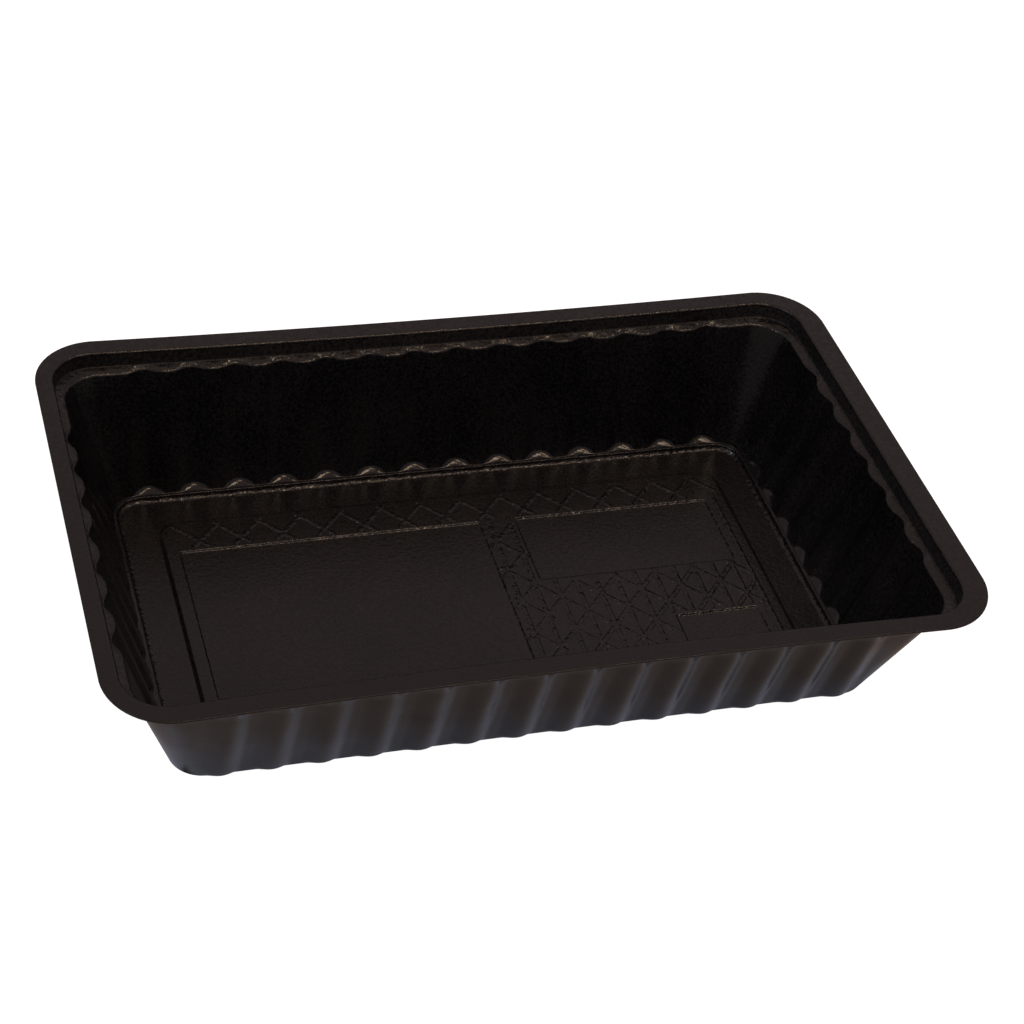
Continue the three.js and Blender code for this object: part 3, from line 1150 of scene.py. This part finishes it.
FINISHES = {
    Finish.RIM: SheetFinish(
        name="black_satin_rim", dark=(0.0029, 0.0021, 0.0022), light=(0.0075, 0.0056, 0.0058),
        gloss=0.26, dull=0.3, grain_size=0.001, grain=0.16,
        pebble_size=0.0009, pebble_height=0.00006, rub=0.03, wave_height=0.00004,
    ),
    # The step's two tones are painted light: some three times lighter than the rest of the black sheet,
    # with a low specular, they stand in for light that the step catches.
    Finish.STEP: SheetFinish(
        name="black_matt_step", dark=(0.0078, 0.0076, 0.008), light=(0.031, 0.0295, 0.031),
        gloss=0.3, dull=0.36, grain_size=0.0012, grain=0.06,
        pebble_size=0.0009, pebble_height=0.00005, rub=0.03, specular=0.15,
    ),
    Finish.EDGE: SheetFinish(
        name="black_pebbled_edge", dark=(0.002, 0.0015, 0.0015), light=(0.01, 0.0075, 0.0076),
        gloss=0.11, dull=0.15, grain_size=0.0011, grain=0.22,
        pebble_size=0.0012, pebble_height=0.00022,
    ),
    Finish.WALL: SheetFinish(
        name="black_gloss_wall", dark=(0.0018, 0.0024, 0.0026), light=(0.0135, 0.0122, 0.0148),
        gloss=0.12, dull=0.16, grain_size=0.0012, grain=0.02,
        pebble_size=0.0008, pebble_height=0.00004, specular=0.38,
    ),
    Finish.FLOOR: SheetFinish(
        name="black_pebbled_floor", dark=(0.0008, 0.0007, 0.0008), light=(0.0108, 0.0088, 0.0088),
        gloss=0.25, dull=0.29, grain_size=0.0007, grain=0.09,
        pebble_size=0.0009, pebble_height=0.0001,
    ),
    Finish.RIDGE: SheetFinish(
        name="black_pebbled_ridge", dark=(0.001, 0.0008, 0.0009), light=(0.0112, 0.0086, 0.0088),
        gloss=0.13, dull=0.17, grain_size=0.0012, grain=0.15,
        pebble_size=0.0014, pebble_height=0.00045,
    ),
    Finish.UNDER: SheetFinish(
        name="black_satin_outside", dark=(0.0018, 0.0016, 0.0018), light=(0.0048, 0.0042, 0.0045),
        gloss=0.18, dull=0.22, grain_size=0.0012, grain=0.03, rub=0.03,
        pebble_size=0.0009, pebble_height=0.00002, wave_size=0.012, wave_height=0.00025,
    ),
}


# ------------------------------------------------------------------------------------------
# Studio
# ------------------------------------------------------------------------------------------


@dataclass(frozen=True)
class Softbox:
    """A flat studio light that looks at the tray."""

    name: str
    azimuth: float
    elevation: float
    distance: float
    width: float
    height: float
    power: float
    colour: Colour

    def build(self) -> bpy.types.Object:
        """Places the light. Azimuth 0 is over the near side, 90 over the right side."""
        a, e = math.radians(self.azimuth), math.radians(self.elevation)
        towards = Vector((math.sin(a) * math.cos(e), -math.cos(a) * math.cos(e), math.sin(e)))
        data = bpy.data.lights.new(self.name, "AREA")
        data.shape, data.size, data.size_y = "RECTANGLE", self.width, self.height
        data.energy, data.color = self.power, self.colour
        light = link(bpy.data.objects.new(self.name, data))
        light.location = towards * self.distance
        light.rotation_mode = "QUATERNION"
        light.rotation_quaternion = towards.to_track_quat("Z", "Y")
        return light


@dataclass(frozen=True)
class Studio:
    """Floor, surroundings and softboxes.

    The camera sees the floor's upper side and the surroundings as white. To all other light
    the floor is grey and the surroundings are a warm gradient, and glossy surfaces also see
    a painted glow on the floor round the tray's footprint, which paints reflections and shade into the
    outer walls.
    """

    floor_size: float = 12.0
    floor_drop: float = 0.00002
    floor_albedo: Colour = (0.34, 0.34, 0.34)
    # The footprint and the glow stops below are painted light that only glossy rays see: painted dim
    # light under the tray, painted shade at its edge and painted reflections beside it.
    footprint: tuple[float, float] = (0.0719, 0.0404)
    painted_glow_reach: tuple[float, float] = (-0.012, 0.01)
    painted_glow_stops: tuple[tuple[float, Colour], ...] = (
        (0.0, (0.16, 0.14, 0.14)),
        (0.25, (0.16, 0.14, 0.14)),
        (0.4, (0.0, 0.0, 0.0)),
        (0.51, (0.0, 0.0, 0.0)),
        (0.56, (0.21, 0.23, 0.3)),
        (0.73, (0.21, 0.21, 0.25)),
        (0.97, (0.15, 0.11, 0.1)),
    )
    surroundings: tuple[tuple[float, Colour], ...] = (
        (0.0, (0.1, 0.085, 0.085)),
        (0.42, (0.24, 0.2, 0.195)),
        (0.53, (0.48, 0.4, 0.385)),
        (0.62, (0.42, 0.345, 0.33)),
        (0.7, (0.34, 0.28, 0.27)),
        (0.82, (0.32, 0.26, 0.24)),
        (0.92, (0.42, 0.33, 0.3)),
        (1.0, (0.5, 0.39, 0.35)),
    )
    softboxes: tuple[Softbox, ...] = ()

    def build(self) -> None:
        """Builds the floor, the surroundings and the lights."""
        self._floor()
        self._surroundings()
        for box in self.softboxes:
            box.build()

    def _floor(self) -> None:
        """The floor, just below the tray. It is clear from below."""
        half = self.floor_size / 2
        corners = ((-half, -half), (half, -half), (half, half), (-half, half))
        mesh = bpy.data.meshes.new("studio_floor")
        mesh.from_pydata([(x, y, -self.floor_drop) for x, y in corners], [], [(0, 1, 2, 3)])
        floor = link(bpy.data.objects.new("studio_floor", mesh))
        material = bpy.data.materials.new("pale_floor")
        material.use_nodes = True
        add = Nodes(material.node_tree)
        path = add.node("ShaderNodeLightPath").outputs
        shader = material.node_tree.nodes["Principled BSDF"]
        shader.inputs["Specular IOR Level"].default_value = 0.0
        add.feed(shader, {
            "Base Color": (*self.floor_albedo, 1.0), "Roughness": 1.0,
            # Camera rays see even white; glossy rays see the painted glow of painted reflections and
            # painted shade.
            "Emission Color": add.mix(path["Is Camera Ray"], self._painted_floor_glow(add), WHITE),
            "Emission Strength": add.math("MAXIMUM", path["Is Camera Ray"], path["Is Glossy Ray"]),
        })
        surface = add.node("ShaderNodeMixShader", {
            0: add.node("ShaderNodeNewGeometry").outputs["Backfacing"],
            1: shader.outputs[0], 2: add.node("ShaderNodeBsdfTransparent").outputs[0],
        })
        add.feed(material.node_tree.nodes["Material Output"], {"Surface": surface.outputs[0]})
        mesh.materials.append(material)

    def _painted_floor_glow(self, add: Nodes) -> Socket:
        """The painted glow that the floor sends into the glossy outer walls, as painted reflections and
        painted shade.

        Args:
            add: Adds nodes to the floor's material.

        Returns:
            Its colour: painted dim light under the tray, painted shade at its edge, a cool painted
                reflection beside it and a warm one further out.
        """
        place = add.node("ShaderNodeTexCoord").outputs["Object"]
        size = add.node("ShaderNodeVectorMath", {0: place}, operation="ABSOLUTE")
        outside = add.node("ShaderNodeVectorMath", {
            0: size.outputs[0], 1: (*self.footprint, 0.0),
        }, operation="SUBTRACT")
        split = add.node("ShaderNodeSeparateXYZ", {0: outside.outputs[0]}).outputs
        near, far = self.painted_glow_reach
        away = add.math("MAXIMUM", split["X"], split["Y"])
        return add.ramp(add.spread(away, {"From Min": near, "From Max": far}), self.painted_glow_stops)

    def _surroundings(self) -> None:
        """Warm surroundings: dim at the horizon, brightest some 30 degrees up and overhead."""
        world = bpy.data.worlds.new("studio")
        bpy.context.scene.world = world
        world.use_nodes = True
        add = Nodes(world.node_tree)
        direction = add.node("ShaderNodeTexCoord").outputs["Generated"]
        height = add.node("ShaderNodeSeparateXYZ", {0: direction}).outputs["Z"]
        seen = add.node("ShaderNodeLightPath").outputs["Is Camera Ray"]
        colour = add.mix(seen, add.ramp(height, self.surroundings), WHITE)
        add.feed(world.node_tree.nodes["Background"], {"Color": colour})


SOFTBOXES = (
    Softbox("window_left", azimuth=-75, elevation=38, distance=1.6, width=0.2, height=0.26,
            power=2.6, colour=(0.8, 0.87, 1.0)),
    Softbox("lamp_overhead", azimuth=58, elevation=68, distance=1.5, width=0.32, height=0.28,
            power=2.4, colour=(1.0, 0.74, 0.52)),
    Softbox("lamp_behind_camera", azimuth=10, elevation=62, distance=1.6, width=0.3, height=0.25,
            power=2.0, colour=(1.0, 0.7, 0.45)),
)


@dataclass(frozen=True)
class Camera:
    """The camera, from the photograph's viewing angle."""

    position: tuple[float, float, float] = (-0.13115, -0.33206, 0.32809)
    azimuth: float = -21.984
    elevation: float = 40.398
    roll: float = 8.958
    lens: float = 81.04
    sensor: float = 36.0

    def build(self) -> bpy.types.Object:
        """Makes the scene's camera and returns it."""
        a, e, r = (math.radians(v) for v in (self.azimuth, self.elevation, self.roll))
        back = Vector((math.sin(a) * math.cos(e), -math.cos(a) * math.cos(e), math.sin(e)))
        right = Vector((math.cos(a), math.sin(a), 0.0))
        up = back.cross(right)
        x_axis = math.cos(r) * right + math.sin(r) * up
        y_axis = -math.sin(r) * right + math.cos(r) * up
        data = bpy.data.cameras.new("camera")
        data.lens, data.sensor_width = self.lens, self.sensor
        data.clip_start, data.clip_end = 0.01, 50.0
        data.dof.use_dof = False
        camera = link(bpy.data.objects.new("camera", data))
        turn = Matrix((x_axis, y_axis, back)).transposed().to_4x4()
        camera.matrix_world = Matrix.Translation(self.position) @ turn
        bpy.context.scene.camera = camera
        return camera


# ------------------------------------------------------------------------------------------
# Main
# ------------------------------------------------------------------------------------------

PANEL_FIELDS = [
    Field(-61.0, 4.8, -21.6, 22.3),
    Field(12.4, 57.4, 2.0, 22.3),
    Field(38.0, 57.0, -21.6, -12.6),
]
LATTICE_BANDS = [
    Band(-63.0, 60.6, 22.8, 30.2),
    Band(-63.2, -61.3, -22.6, 22.4),
    Band(5.2, 12.1, -22.0, 22.4),
    Band(12.1, 59.0, -12.0, 1.6),
    Band(12.1, 37.6, -22.0, -12.0),
    Band(57.4, 59.0, -22.0, 22.4),
    Band(-63.0, 60.6, -30.2, -22.4),
]
UPRIGHT_BANDS = [
    Band(5.8, 11.5, -22.0, 22.4),
    Band(12.1, 37.0, -22.0, 1.6),
    Band(37.0, 56.0, -12.0, 1.6),
]
PANEL_LINES = [(59.3, -24.0, 59.3, 24.4)]


def report(piece: bpy.types.Object) -> None:
    """Logs a finished piece and how many faces it has."""
    LOG.info("%s: %d faces, %d vertices", piece.name, len(piece.data.polygons), len(piece.data.vertices))


def main() -> None:
    """Builds the tray, the studio and the camera."""
    logging.basicConfig(level=logging.INFO, format="%(name)s: %(message)s")
    low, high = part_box(CAD_NODE)
    form = TrayForm(length=(high.x - low.x) / MM, height=(high.z - low.z) / MM)
    flutes = FluteForm()
    groups = (make_peel_group(), make_handling_group(), make_speckle_group())
    materials = {place: finish.build(*groups) for place, finish in FINISHES.items()}
    Camera().build()
    Studio(softboxes=SOFTBOXES).build()

    shell = TrayShell(form, flutes, PANEL_FIELDS, RingPlan(flutes)).build(materials)
    lattice = Lattice(form.panel_z, LATTICE_BANDS, UPRIGHT_BANDS, PANEL_LINES)
    ridges = lattice.build(materials[Finish.RIDGE])
    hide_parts(CAD_NODE)
    for piece in (shell, ridges):
        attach(piece, BODY)
        report(piece)
    bpy.context.scene.view_settings.view_transform = "Standard"


if __name__ == "__main__":
    main()
